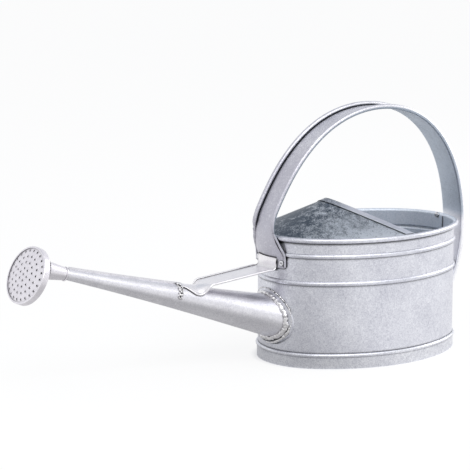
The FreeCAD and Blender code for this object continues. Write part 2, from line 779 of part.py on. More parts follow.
def make_strut_blank():
    """A strap from the handle's foot down on to the spout, which its lower end wraps."""
    face = -(size.half_length + STRAP_STACK + size.film).number
    top = (FRONT_FOOT_Z + size.strut_top_rise).number
    tab = size.strut_tab.number
    bend = size.strut_bend.number
    gauge = size.strut_gauge.number
    start = along_spout(size.saddle_reach - size.saddle_length, size.saddle_rest)
    end = along_spout(size.saddle_reach, size.middle_radius)
    points = [Vector(face - size.strut_lean.number, 0, top), Vector(face, 0, top - tab),
              Vector(start[0].number, 0, start[2].number),
              Vector(end[0].number, 0, end[2].number)]
    path = rounded(points, (bend, size.saddle_bend.number))
    saddle = path.Length - size.saddle_length.number
    hug = 1 / (size.end_radius + size.strap_gauge).number
    wrap = 1 / size.middle_radius.number
    wide, narrow = size.strut_width.number, size.saddle_width.number
    hem = size.strut_hem.number
    flat = FLAT_EDGE * gauge
    marks = [
        # distance, (width, roll, curve)
        (0, (wide, flat, hug)),
        (tab - bend, (wide, flat, hug)),
        (tab + bend, (wide, hem, 0)),
        (saddle - tab, (wide, hem, 0)),
        (saddle, (narrow, hem, wrap)),
        (path.Length, (size.saddle_tip.number, flat, wrap)),
    ]
    return shaped("strut_blank", strip_along(path, size.strut_station.number, marks, gauge, -1))


# ---------------------------------------------------------------- rose

FACE_REACH = size.collar_length + size.rose_reach


def put_on_seat(thing, reach=ZERO, drop=ZERO, tilt=ZERO):
    """Place a thing in the rose's own frame: +Z along its collar from the seat, +X away from
    the drop, and the whole turned about the spout."""
    seat = along_spout(size.seat_reach)
    swing = size.spout_angle - 90
    turn = -size.rose_turn
    outer = Placement(Vector(*(part.number for part in seat)),
                      Rotation(Vector(0, 1, 0), swing.number)
                      * Rotation(Vector(0, 0, 1), turn.number))
    inner = Placement(Vector(-drop.number, 0, reach.number),
                      Rotation(Vector(0, 1, 0), tilt.number))
    thing.Placement = outer * inner
    point = "; ".join(part.formula for part in seat)
    thing.setExpression("Placement", (
        f"placement(vector({point}); rotationy({swing.formula} * 1deg)"
        f" * rotationz({turn.formula} * 1deg))"
        f" * placement(vector({(-drop).formula}; 0; {reach.formula});"
        f" rotationy({tilt.formula} * 1deg))"))
    return thing


def make_collar():
    """The rose's tapered socket, with a rolled lip that grips the spout."""
    lip = (size.seat_radius + size.seat_gap + size.lip_radius, ZERO)
    outer, inner = [(lip[0] + size.lip_radius * cosine(as_dim(angle)),
                     size.lip_radius * sine(as_dim(angle))) for angle in LIP_ENDS]
    corners = [outer, (size.collar_end, size.collar_length),
               (size.collar_end - size.rose_gauge, size.collar_length), inner]
    return put_on_seat(turned("rose_collar", corners, {3: (lip, True)}))


def make_rose_solder():
    corners = [(size.collar_end, -size.solder_leg), (size.collar_end + size.solder_leg, ZERO),
               (size.collar_end, ZERO)]
    return put_on_seat(turned("rose_solder", corners), size.collar_length)


def back_loft(name, growth):
    """A cone from the collar's end circle to the tilted circle behind the rim."""
    band_drop = size.rose_drop + size.rose_band * sine(size.rose_tilt)
    band_reach = FACE_REACH - size.rose_band * cosine(size.rose_tilt)
    ends = [(size.collar_end, size.collar_length, ZERO, ZERO),
            (size.rose_radius, band_reach, band_drop, size.rose_tilt)]
    circles = []
    for number, (radius, reach, drop, tilt) in enumerate(ends):
        ring = document.addObject("Part::Circle", f"{name}_{number}")
        bind(ring, Radius=radius + growth)
        bind_placement(ring, (-drop, ZERO, reach), axis=(0, 1, 0), angle=tilt)
        circles.append(ring)
    loft = document.addObject("Part::Loft", name)
    loft.Sections = circles
    loft.Solid = True
    loft.Ruled = True
    return put_on_seat(loft)


def put_on_face(thing):
    return put_on_seat(thing, FACE_REACH, size.rose_drop, size.rose_tilt)


def make_rose_rim():
    """The band that is crimped over the face's edge."""
    gauge, radius, band = size.rose_gauge, size.rose_radius, size.rose_band
    crimp = radius - size.rose_crimp
    corner = radius - gauge
    corners = [(corner, -band), (radius, -band), (radius, -gauge), (corner, ZERO),
               (crimp, ZERO), (crimp, -gauge), (corner, -gauge)]
    return put_on_face(turned("rose_rim", corners, {2: ((corner, -gauge), True)}))


def make_rose_face():
    """The domed plate, with rings of holes round one in the middle."""
    gauge, dome = size.rose_gauge, size.rose_dome
    edge = size.rose_radius - gauge
    foot = size.rose_radius - size.rose_crimp - gauge
    curve = (foot * foot + dome * dome) / (dome * 2)
    corners = [(ZERO, dome - gauge * 2), (foot, -gauge * 2), (edge, -gauge * 2),
               (edge, -gauge), (foot, -gauge), (ZERO, dome - gauge)]
    arcs = {0: ((ZERO, dome - gauge * 2 - curve), False), 4: ((ZERO, dome - gauge - curve), True)}
    face = turned("rose_face", corners, arcs)
    for ring, holes in enumerate((1,) + ROSE_RINGS):
        sketch = sketch_on(face, f"rose_hole_{ring}", "XY_Plane")
        circle(sketch, (size.ring_step * ring, ZERO), size.rose_hole)
        pocket = face.newObject("PartDesign::Pocket", f"rose_pocket_{ring}")
        pocket.Profile = sketch
        pocket.Type = "ThroughAll"
        pocket.Midplane = True
        if holes > 1:
            pattern = face.newObject("PartDesign::PolarPattern", f"rose_ring_{ring}")
            pattern.Originals = [pocket]
            pattern.Axis = (sketch, ["N_Axis"])
            pattern.Angle = 360
            pattern.Occurrences = holes
            face.Tip = pattern
    return put_on_face(face)


# ---------------------------------------------------------------- the whole can

def make_can():
    """Build every piece and return them in the order of the assembly."""
    wall_shell = round_the_body("wall_shell", wall_section)
    core = oval_slab("wall_core", -size.gauge / 2, ZERO, size.body_height)
    envelope = boolean("Fuse", "wall_envelope", wall_shell, core)
    front_rivets = make_rivets(
        "handle_front_rivets", -END_CENTRE, FRONT_FOOT_Z + size.front_rivet_rise,
        as_dim(180) - size.front_rivet_turn)
    back_rivets = make_rivets(
        "handle_back_rivets", END_CENTRE, size.back_foot_z + size.back_rivet_rise,
        size.back_rivet_turn)

    skin = spout_loft("spout_skin", ZERO)
    bore = spout_loft("spout_bore", -size.gauge)
    raised = spout_loft("ridge_skin", size.ridge_height)
    flange_skin = spout_loft("flange_skin", size.flange_width)
    solder_skin = spout_loft("solder_skin", size.solder_leg)
    outside = boolean("Fuse", "spout_outside", skin, make_ridge(raised))

    seamed = boolean("Fuse", "seamed_wall", wall_shell, make_lock_seam())
    strap_blank = make_strap()
    flange = make_flange(flange_skin, skin, envelope)
    strut = cut("strut", make_strut_blank(), outside)
    saddle = spout_box("saddle_block", size.saddle_reach - size.solder_leg, size.saddle_width / 2,
                       size.root_tall, size.solder_leg * 3)
    # The cone is shallow, so its hollow is two gauges smaller to leave a sheet of about one.
    back = boolean("Cut", "rose_back", back_loft("back_skin", ZERO),
                   back_loft("back_hollow", -size.rose_gauge * 2))
    return [
        cut("body_wall", seamed, bore, front_rivets, back_rivets),
        round_the_body("rim_wire",
                       lambda sketch: circle(sketch, CURL_CENTRE, size.rim_wire_radius)),
        make_base_plate(),
        round_the_body("base_solder", base_solder_section),
        round_the_body("foot_hoop", hoop_section),
        make_hood(),
        make_hood_solder(),
        cut("handle_strap", strap_blank, front_rivets, back_rivets),
        front_rivets,
        back_rivets,
        strut,
        cut("strut_solder", boolean("Common", "strut_solder_blank", solder_skin, saddle),
            outside, strut),
        cut("spout_tube", outside, bore, envelope),
        flange,
        make_spout_solder(solder_skin, skin, envelope, flange),
        make_collar(),
        make_rose_solder(),
        back,
        make_rose_rim(),
        make_rose_face(),
    ]


def check(pieces):
    """Stop if any object failed, or any piece isn't one or more sound solids."""
    for item in document.Objects:
        if {"Invalid", "Error"} & set(item.State):
            raise RuntimeError(f"{item.Name} failed: {item.State}")
    for piece in pieces:
        shape = piece.Shape
        if shape.isNull() or not shape.isValid() or not shape.Solids:
            raise RuntimeError(f"{piece.Label} isn't a sound solid")


def write(pieces):
    os.makedirs("parts", exist_ok=True)
    for piece in pieces:
        piece.Shape.exportStep(f"parts/{piece.Label}.step")
        print(piece.Label, len(piece.Shape.Solids), round(piece.Shape.Volume, 1))


can = make_can()
document.recompute()
check(can)
write(can)
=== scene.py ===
import math
import random

import bmesh
import bpy
from mathutils import Matrix, Vector


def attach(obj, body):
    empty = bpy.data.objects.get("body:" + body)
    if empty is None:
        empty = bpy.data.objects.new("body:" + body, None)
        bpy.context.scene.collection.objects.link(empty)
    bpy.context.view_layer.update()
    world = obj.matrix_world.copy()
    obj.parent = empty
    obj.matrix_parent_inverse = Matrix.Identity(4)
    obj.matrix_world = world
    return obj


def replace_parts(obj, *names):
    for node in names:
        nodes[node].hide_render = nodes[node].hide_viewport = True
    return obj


# A galvanised steel watering can, dressed round its solid model: oval body with two raised
# beads, half hood, strap handle, tapered spout with a strut, and a push-fit rose.
#
# Metres, in the model's own frame: the centre of the base is the origin, +Z is up and the
# spout points to -X. Named sizes are in millimetres, as a tinsmith would give them.

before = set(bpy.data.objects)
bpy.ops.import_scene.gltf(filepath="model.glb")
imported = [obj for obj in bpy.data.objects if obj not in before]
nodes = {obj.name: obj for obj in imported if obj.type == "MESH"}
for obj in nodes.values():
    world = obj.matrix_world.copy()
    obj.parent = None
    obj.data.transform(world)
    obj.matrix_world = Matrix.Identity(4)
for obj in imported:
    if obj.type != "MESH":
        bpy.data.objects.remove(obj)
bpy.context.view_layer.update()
scene = bpy.context.scene
MM = 0.001


# ---------------------------------------------------------------- materials

def linear(hex_colour):
    """An sRGB hex colour as linear RGBA."""
    def channel(pair):
        value = int(pair, 16) / 255
        return value / 12.92 if value <= 0.04045 else ((value + 0.055) / 1.055) ** 2.4

    digits = hex_colour.lstrip("#")
    return tuple(channel(digits[i:i + 2]) for i in (0, 2, 4)) + (1.0,)


def socket(sockets, key):
    """The node's socket with this identifier or name."""
    return next(s for s in sockets if key in (s.identifier, s.name))


def add(tree, kind, settings=None, links=None):
    """Add a node: settings are properties or unlinked sockets, links are {socket: (node, output)}."""
    node = tree.nodes.new(kind)
    for key, value in (settings or {}).items():
        if key in node.bl_rna.properties:
            setattr(node, key, value)
    for key, value in (settings or {}).items():
        if key not in node.bl_rna.properties:
            socket(node.inputs, key).default_value = value
    for key, (source, output) in (links or {}).items():
        tree.links.new(socket(source.outputs, output), socket(node.inputs, key))
    return node


def per_metre(size_mm):
    """The texture scale whose features are this many millimetres apart."""
    return 1 / (size_mm * MM)


def new_material(name):
    """An empty material and its node tree."""
    material = bpy.data.materials.new(name)
    material.use_nodes = True
    material.node_tree.nodes.clear()
    return material, material.node_tree


# Sizes of the zinc's patterns, in mm. Its real grain is about 0.4 mm, drawn coarser to show.
GRIT_SIZE, CLOUD_SIZE = 1.3, 38
CRYSTAL_WANDER = 1.6    # how far a crystal's outline strays
BLOTCH_CRYSTALS = 3     # crystals to a blotch
# How much each pattern adds to the tone, before the material's contrast.
SHARES = {"grit": 2.2, "spangle": 0.45, "blotch": 3.0, "cloud": 0.9, "fade": 1.3}


def zinc_tone(tree, place, look):
    """How light the zinc is at each point, from 0 to 1, and its grit.

    Zinc sets in flat crystals that each reflect a little differently, under a fine grit, with
    blotches a few crystals wide and clouds as wide as a thumb.
    """
    crystal = look["crystal"]
    drift = add(tree, "ShaderNodeTexNoise", {"Scale": per_metre(crystal * 1.6), "Detail": 2.0},
                {"Vector": place})
    drifted = add(tree, "ShaderNodeMix",
                  {"data_type": "VECTOR", "Factor_Float": CRYSTAL_WANDER * MM},
                  {"A_Vector": place, "B_Vector": (drift, "Color")})
    spangle = add(tree, "ShaderNodeTexVoronoi", {"Scale": per_metre(crystal)},
                  {"Vector": (drifted, "Result_Vector")})
    grit = add(tree, "ShaderNodeTexNoise", {"Scale": per_metre(GRIT_SIZE), "Detail": 2.0},
               {"Vector": place})
    blotch = add(tree, "ShaderNodeTexNoise",
                 {"Scale": per_metre(crystal * BLOTCH_CRYSTALS), "Detail": 4.0}, {"Vector": place})
    cloud = add(tree, "ShaderNodeTexNoise", {"Scale": per_metre(CLOUD_SIZE), "Detail": 2.0},
                {"Vector": place})
    patterns = [((grit, "Fac"), SHARES["grit"]), ((spangle, "Color"), SHARES["spangle"]),
                ((blotch, "Fac"), look["mottle"] * SHARES["blotch"]),
                ((cloud, "Fac"), SHARES["cloud"])]
    if look["fade"]:
        direction, middle, reach = look["fade"]
        along = add(tree, "ShaderNodeVectorMath",
                    {"operation": "DOT_PRODUCT", "Vector_001": direction}, {"Vector": place})
        faded = add(tree, "ShaderNodeMapRange",
                    {"From Min": (middle - reach) * MM, "From Max": (middle + reach) * MM},
                    {"Value": (along, "Value")})
        patterns.append(((faded, "Result"), SHARES["fade"] / look["contrast"]))
    # Each pattern is centred on nought and scaled by its share, and the sum on a half.
    tone = None
    for pattern, share in patterns:
        share *= look["contrast"]
        part = add(tree, "ShaderNodeMath",
                   {"operation": "MULTIPLY_ADD", "Value_001": share, "Value_002": -share / 2},
                   {"Value": pattern})
        tone = part if tone is None else add(tree, "ShaderNodeMath", {"operation": "ADD"},
                                             {"Value": (tone, "Value"), "Value_001": (part, "Value")})
    share = add(tree, "ShaderNodeMath", {"operation": "ADD", "use_clamp": True, "Value_001": 0.5},
                {"Value": (tone, "Value")})
    return (share, "Value"), (grit, "Fac")


SIDE_BLUR, DULL_BLUR = 4, 12  # mm over which the two sides and the dull height change


def turned_away(tree, place, look):
    """0 on the side of a sheet that looks towards a centre line, and 1 on the other.

    With a height dull_over, the sheet is 1 on both sides below it.
    """
    texture = place[0]
    centre, axes = look["facing"]
    away = add(tree, "ShaderNodeVectorMath", {"operation": "SUBTRACT", "Vector_001": centre},
               {"Vector": place})
    flat = add(tree, "ShaderNodeVectorMath", {"operation": "MULTIPLY", "Vector_001": axes},
               {"Vector": (away, "Vector")})
    side = add(tree, "ShaderNodeVectorMath", {"operation": "DOT_PRODUCT"},
               {"Vector": (flat, "Vector"), "Vector_001": (texture, "Normal")})
    outside = add(tree, "ShaderNodeMapRange", {"From Min": -SIDE_BLUR * MM, "From Max": SIDE_BLUR * MM},
                  {"Value": (side, "Value")})
    if look["dull_over"]:
        height = add(tree, "ShaderNodeSeparateXYZ", {}, {"Vector": place})
        under = add(tree, "ShaderNodeMapRange",
                    {"From Min": look["dull_over"] * MM,
                     "From Max": (look["dull_over"] - DULL_BLUR) * MM},
                    {"Value": (height, "Z")})
        outside = add(tree, "ShaderNodeMath", {"operation": "MAXIMUM"},
                      {"Value": (outside, "Result"), "Value_001": (under, "Result")})
        return outside, "Value"
    return outside, "Result"


EDGE_BLUR, EDGE_FAINT = 0.3, 0.15  # mm over which the strip ends, and its share at the middle


def painted_hem_highlight(tree, place, edge):
    """1 in a strip of this width inside a plane edge: a painted highlight along the hem.

    The painted highlight is whole towards both sides of the can, from the given distance across, and
    faint between.
    """
    point, normal, width, whole_from = edge
    inwards = add(tree, "ShaderNodeVectorMath", {"operation": "SUBTRACT", "Vector_001": point},
                  {"Vector": place})
    depth = add(tree, "ShaderNodeVectorMath", {"operation": "DOT_PRODUCT", "Vector_001": normal},
                {"Vector": (inwards, "Vector")})
    strip = add(tree, "ShaderNodeMapRange",
                {"From Min": (width - EDGE_BLUR) * MM, "From Max": width * MM,
                 "To Min": 1.0, "To Max": 0.0},
                {"Value": (depth, "Value")})
    across = add(tree, "ShaderNodeSeparateXYZ", {}, {"Vector": place})
    across = add(tree, "ShaderNodeMath", {"operation": "ABSOLUTE"}, {"Value": (across, "Y")})
    highlight_share = add(tree, "ShaderNodeMapRange",
                 {"interpolation_type": "SMOOTHSTEP", "From Max": whole_from * MM,
                  "To Min": EDGE_FAINT},
                 {"Value": (across, "Value")})
    strip = add(tree, "ShaderNodeMath", {"operation": "MULTIPLY"},
                {"Value": (strip, "Result"), "Value_001": (highlight_share, "Result")})
    return strip, "Value"


LEDGE_BLUR, LEDGE_TILT = 2, -0.6  # mm over which the look-out turns, and its tilt below
COVER_SAMPLES = 12


def painted_corner_shade(tree, place, look):
    """Painted shade in the corners and under ledges, where shade falls: 1 is unshaded.

    What covers a point is looked for over reach, in mm. The sheet is dark where black or less
    of the view is open, and unshaded from unshaded on; shadow is the depth of the painted shade.
    The look-out is tilted up by lift, so that a ledge paints shade on what is below it. Under the
    height ledge_z it is tilted down, so that the painted shade lies on the ledge.
    """
    outward = add(tree, "ShaderNodeNewGeometry")
    tilt = add(tree, "ShaderNodeCombineXYZ", {"Z": look["lift"]})
    if look["ledge_z"]:
        height = add(tree, "ShaderNodeSeparateXYZ", {}, {"Vector": place})
        turn = add(tree, "ShaderNodeMapRange",
                   {"From Min": (look["ledge_z"] - LEDGE_BLUR) * MM,
                    "From Max": (look["ledge_z"] + LEDGE_BLUR) * MM,
                    "To Min": LEDGE_TILT, "To Max": look["lift"]}, {"Value": (height, "Z")})
        tilt = add(tree, "ShaderNodeCombineXYZ", {}, {"Z": (turn, "Result")})
    tilted = add(tree, "ShaderNodeVectorMath", {"operation": "ADD"},
                 {"Vector": (outward, "Normal"), "Vector_001": (tilt, "Vector")})
    tilted = add(tree, "ShaderNodeVectorMath", {"operation": "NORMALIZE"},
                 {"Vector": (tilted, "Vector")})
    cover = add(tree, "ShaderNodeAmbientOcclusion",
                {"samples": COVER_SAMPLES, "Distance": look["reach"] * MM},
                {"Normal": (tilted, "Vector")})
    corner_shade = add(tree, "ShaderNodeMapRange",
                {"From Min": look["black"], "From Max": look["clean"], "To Min": 1 - look["shadow"]},
                {"Value": (cover, "AO")})
    return corner_shade, "Result"


# Hot-dipped zinc on plain sheet, which the materials below change where theirs differs.
LOOK = {
    "rough": (0.30, 0.46), "crystal": 3.2, "mottle": 0.0, "contrast": 0.6, "wave": 0.10,
    "fade": None, "dull": None, "facing": None, "dull_over": None, "edge": None,
    # lift to shadow shape the painted shade in corners and under ledges
    "lift": 0.9, "ledge_z": None, "reach": 3.5, "black": 0.15, "clean": 0.7, "shadow": 0.88,
}
WAVE_LENGTH = 30        # between the dents of hand-worked sheet, mm
GRAIN_DEPTH = 0.012     # of the zinc's skin, mm
DULL_ROUGHNESS = 0.2    # what the dull side adds
HEM_HIGHLIGHT = "#f8f8ff"


def galvanised(name, pale, deep, **changes):
    """Hot-dip galvanised steel sheet: pale and deep are the lightest and darkest of its zinc.

    rough is its roughness where pale and where deep, crystal the crystals' size in mm, mottle
    the share of blotches, contrast the spread of all patterns, and fade the direction in which
    the sheet turns paler, with the middle of that change and its reach in mm. dull is a second
    pair of colours for the side that faces the centre line in facing, down to the height
    dull_over in mm. edge is a painted highlight, a pale strip along a plane edge. wave is how
    deep the sheet's dents are in mm. The others shape the painted shade in corners and under ledges.
    """
    look = {**LOOK, **changes}
    material, tree = new_material(name)
    texture = add(tree, "ShaderNodeTexCoord")
    place = (texture, "Object")
    share, grit = zinc_tone(tree, place, look)
    colour = add(tree, "ShaderNodeMix",
                 {"data_type": "RGBA", "A_Color": linear(deep), "B_Color": linear(pale)},
                 {"Factor_Float": share})
    roughness = add(tree, "ShaderNodeMapRange",
                    {"To Min": look["rough"][1], "To Max": look["rough"][0]}, {"Value": share})
    if look["dull"]:
        outside = turned_away(tree, place, look)
        dull_pale, dull_deep = look["dull"]
        dull = add(tree, "ShaderNodeMix", {"data_type": "RGBA", "A_Color": linear(dull_deep),
                                           "B_Color": linear(dull_pale)}, {"Factor_Float": share})
        colour = add(tree, "ShaderNodeMix", {"data_type": "RGBA"},
                     {"Factor_Float": outside, "A_Color": (dull, "Result_Color"),
                      "B_Color": (colour, "Result_Color")})
        rougher = add(tree, "ShaderNodeMapRange", {"To Min": DULL_ROUGHNESS, "To Max": 0.0},
                      {"Value": outside})
        roughness = add(tree, "ShaderNodeMath", {"operation": "ADD"},
                        {"Value": (roughness, "Result"), "Value_001": (rougher, "Result")})
    # The hem's painted highlight.
    if look["edge"]:
        colour = add(tree, "ShaderNodeMix", {"data_type": "RGBA", "B_Color": linear(HEM_HIGHLIGHT)},
                     {"Factor_Float": painted_hem_highlight(tree, place, look["edge"]),
                      "A_Color": (colour, "Result_Color")})
    # Painted shade in the corners and under ledges darkens the colour.
    colour_in_painted_shade = add(tree, "ShaderNodeMix",
                {"data_type": "RGBA", "blend_type": "MULTIPLY", "Factor_Float": 1.0},
                {"A_Color": (colour, "Result_Color"),
                 "B_Color": painted_corner_shade(tree, place, look)})
    # Hand-worked sheet is never quite flat, and its zinc skin is slightly grainy.
    waves = add(tree, "ShaderNodeTexNoise", {"Scale": per_metre(WAVE_LENGTH), "Detail": 1.0},
                {"Vector": place})
    wavy = add(tree, "ShaderNodeBump", {"Strength": 1.0, "Distance": look["wave"] * MM},
               {"Height": (waves, "Fac")})
    grainy = add(tree, "ShaderNodeBump", {"Strength": 1.0, "Distance": GRAIN_DEPTH * MM},
                 {"Height": grit, "Normal": (wavy, "Normal")})
    shader = add(tree, "ShaderNodeBsdfPrincipled", {"Metallic": 1.0},
                 {"Base Color": (colour_in_painted_shade, "Result_Color"), "Normal": (grainy, "Normal"),
                  "Roughness": (roughness, roughness.outputs[0].name)})
    add(tree, "ShaderNodeOutputMaterial", {}, {"Surface": (shader, "BSDF")})
    return material


# Centre lines that the dull sides face: a point, and the directions across the line.
CAN_AXIS = ((0.0, 0.0, 0.0), (1.0, 1.0, 0.0))
HANDLE_ARCH = ((0.017, 0.0, 0.150), (1.0, 0.0, 1.0))
# The hood's free edge lies in a plane that leans back, and meets the rim ahead of the middle.
HOOD_LEAN = math.radians(61)
HOOD_FOOT, RIM_HEIGHT = 17.8, 146
# Width of the painted highlight along the hood's hem, and where it becomes whole, mm.
HEM_WIDTH, HEM_HIGHLIGHT_WHOLE = 5.5, 42
HOOD_EDGE = ((HOOD_FOOT * MM, 0.0, RIM_HEIGHT * MM),
             (-math.cos(HOOD_LEAN), 0.0, -math.sin(HOOD_LEAN)), HEM_WIDTH, HEM_HIGHLIGHT_WHOLE)

# Hot-dip galvanised sheet, rolled to the oval: a satin pale grey with a fine grit, bluer, duller and
# paler inside, where water stands on it; the paleness is painted light in the deep inside. Painted
# shade lies on the foot's ledge, in the corners and under the rim and beads.
wall_sheet = galvanised("galvanised_wall_sheet", "#f3f4fa", "#babbc6", dull=("#f4f8ff", "#cfd8e4"),
                        facing=CAN_AXIS, ledge_z=22, reach=4.5, black=0.42, clean=0.74, shadow=0.95)
# A band of the same sheet that stands on the ground: an even grey with little painted shade.
foot_sheet = galvanised("galvanised_foot_band", "#f6f7fb", "#b8b9c3")
# Sheet rolled to a taper: paler, with one bright streak along it and wider crystals.
spout_sheet = galvanised("galvanised_spout_sheet", "#f8f7fb", "#d0cfd6", crystal=3.5)
# Sheet hammered over a stake, left dull: dark blotches, darker towards the front, the far side
# and the top, and a painted highlight along the hem.
hood_sheet = galvanised("dull_galvanised_hood_sheet", "#f0f3f8", "#57616d", crystal=2.6,
                        mottle=0.6, contrast=0.9, edge=HOOD_EDGE, lift=0.3, black=0.3, clean=0.9,
                        fade=((0.45, -0.75, -0.5), -70, 56))
# Strip with rolled edges: painted shade in the corner of each roll, dull blue under the arch,
# and polished paler towards the back, where hands carry it.
strap_steel = galvanised("galvanised_strap", "#fcfcff", "#c0bfc9", dull=("#c0c8d3", "#9ca5b0"),
                         facing=HANDLE_ARCH, dull_over=150, crystal=3.0, lift=0.0, reach=5.0,
                         black=0.48, clean=0.92, fade=((1.0, 0.0, 0.0), 10, 180))
# Narrow folded strip, bright from the bath: nearly white, with painted shade in its folds.
strut_steel = galvanised("bright_galvanised_strut", "#fdfbfd", "#ebe9ed", crystal=3.0, lift=0.0,
                         reach=4.0, black=0.6, clean=0.98)
# Sheet drawn over a former, which leaves few dents: smooth and pale, with painted shade in its holes
# and at its crimped rim.
rose_sheet = galvanised("drawn_rose_sheet", "#f9f6fa", "#dcd9e0", crystal=3.0, wave=0.05,
                        lift=0.0, reach=2.5, black=0.36, clean=0.92)
# Soft steel burnished by the setting punch: bright heads with painted shade round them.
rivet_steel = galvanised("galvanised_rivet_steel", "#f8f8fa", "#d0d0d6", crystal=2.0, lift=0.0,
                         reach=2.5, black=0.55, clean=0.9, shadow=0.95)
# Wire drawn through a die: a plain darker grey, which only its ends would show.
wire_steel = galvanised("drawn_rim_wire", "#a9aab0", "#85868c", crystal=2.0)
# Tin solder, which runs and freezes bright: the smoothest finish here, over soft lumps.
solder = galvanised("bright_tin_solder", "#faf9fa", "#cbc9cb", rough=(0.18, 0.34), crystal=2.2,
                    wave=0.3, lift=0.0, reach=2.5)

FINISHES = {
    "body_wall": wall_sheet, "base_plate": wall_sheet, "foot_hoop": foot_sheet,
    "rim_wire": wire_steel, "base_solder": solder, "hood": hood_sheet, "hood_solder": solder,
    "handle_strap": strap_steel, "handle_front_rivets": rivet_steel,
    "handle_back_rivets": rivet_steel, "strut": strut_steel, "strut_solder": solder,
    "spout_tube": spout_sheet, "spout_flange": wall_sheet, "spout_solder": solder,
    "rose_collar": rose_sheet, "rose_solder": solder, "rose_back": rose_sheet,
    "rose_rim": rose_sheet, "rose_face": rose_sheet,
}
for name, material in FINISHES.items():
    mesh = nodes[name].data
    mesh.materials.clear()
    mesh.materials.append(material)


# ---------------------------------------------------------------- rivets

END_CENTRE = 51.0  # middle of each end arc of the oval, fore and aft of the can's
RIVET_HEAD, RIVET_SHANK = 3.4, 1.8      # radii
RIVET_DOME, RIVET_BACK = 1.9, 0.8       # heights of the head and of the burr inside
PUNCH_RADIUS, PUNCH_DEPTH = 1.35, 1.8
DOME_STEPS, RIVET_STEPS = 12, 28


def dressed(name, shape, material, body="can"):
    """A finished piece from a bmesh: smooth, in its material, riding on its body."""
    mesh = bpy.data.meshes.new(name)
    bmesh.ops.recalc_face_normals(shape, faces=shape.faces)
    shape.to_mesh(mesh)
    shape.free()
    mesh.shade_smooth()
    mesh.materials.append(material)
    piece = bpy.data.objects.new(name, mesh)
    scene.collection.objects.link(piece)
    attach(piece, body)
    return piece


def turned(shape, section, place, steps):
    """Turn a section of (radius, height) in mm about +Z and put it in its place."""
    start = [shape.verts.new((radius * MM, 0, height * MM)) for radius, height in section]
    edges = [shape.edges.new(pair) for pair in zip(start, start[1:])]
    bmesh.ops.spin(shape, geom=start + edges, axis=(0, 0, 1), cent=(0, 0, 0), angle=math.tau,
                   steps=steps, use_merge=True)
    # Points that were turned before are tagged, and stay where they are.
    whole = [vert for vert in shape.verts if not vert.tag]
    bmesh.ops.transform(shape, matrix=place, verts=whole)
    for vert in whole:
        vert.tag = True


def set_rivets(node):
    """A pair of rivets whose heads keep the dimple that the setting punch leaves."""
    for side, word in ((-1, "near"), (1, "far")):
        solid = [vert.co for vert in nodes[node].data.vertices if vert.co.y * side > 0]
        middle = sum(solid, Vector()) / len(solid)
        centre = Vector((math.copysign(END_CENTRE * MM, middle.x), 0, middle.z))
        out = (middle - centre).normalized()
        reach = [(point - centre).dot(out) / MM for point in solid]
        seat = max(reach) - RIVET_DOME
        back = min(reach) - seat
        section = []
        for step in range(DOME_STEPS + 1):
            share = step / DOME_STEPS
            radius = RIVET_HEAD * share
            dent = PUNCH_DEPTH * math.exp(-(radius / PUNCH_RADIUS) ** 2)
            section.append((radius, RIVET_DOME * math.sqrt(1 - share ** 2) - dent))
        section += [(RIVET_SHANK, 0), (RIVET_SHANK, back + RIVET_BACK),
                    (RIVET_HEAD, back + RIVET_BACK), (RIVET_HEAD, back), (0, back)]
        shape = bmesh.new()
        square = out.to_track_quat("Z", "Y").to_matrix().to_4x4()
        place = Matrix.Translation(centre + out * seat * MM) @ square
        turned(shape, section, place, RIVET_STEPS)
        bmesh.ops.remove_doubles(shape, verts=shape.verts, dist=0.01 * MM)
        yield dressed(f"{node}_{word}", shape, rivet_steel)


for node in ("handle_front_rivets", "handle_back_rivets"):
    for rivet in list(set_rivets(node)):
        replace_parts(rivet, node)


# ---------------------------------------------------------------- solder

FINE_GRAIN = 0.4    # the skin's grain, mm
RELAX_ROUNDS = 6


def melted(shape, name, grain):
    """Lumps run together into one skin, which is then relaxed as molten tin is."""
    piece = dressed(name, shape, solder)
    remesh = piece.modifiers.new("run_together", "REMESH")
    remesh.mode = "VOXEL"
    remesh.voxel_size = grain * MM
    remesh.use_smooth_shade = True
    relax = piece.modifiers.new("relax", "SMOOTH")
    relax.iterations = RELAX_ROUNDS
    return piece


def lumpy_solder(name, node, lumps, sizes, grain):
    """Solder as it sets by hand: lumps of these radii along the joint that the node fills."""
    chance = random.Random(name)
    mesh = nodes[node].data
    mesh.calc_loop_triangles()
    triangles = [[mesh.vertices[corner].co for corner in piece.vertices]
                 for piece in mesh.loop_triangles]
    areas = [piece.area for piece in mesh.loop_triangles]
    shape = bmesh.new()
    for one, two, three in chance.choices(triangles, areas, k=lumps):
        low, high = sorted((chance.random(), chance.random()))
        point = one * low + two * (high - low) + three * (1 - high)
        bmesh.ops.create_icosphere(shape, subdivisions=2, radius=chance.uniform(*sizes) * MM,
                                   matrix=Matrix.Translation(point))
    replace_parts(melted(shape, name, grain), node)


FLANGE_WIDE, FLANGE_TALL = 35.8, 30.5   # half the flange's width and height, mm
SPOUT_HEIGHT = 53.3                     # of the spout's middle at the wall
WALL_FACE = 69.8                        # radius of the wall's outer face at its end arc
RAN_DOWN = 1.25 * math.pi               # the turn where most solder ran: low on the near side


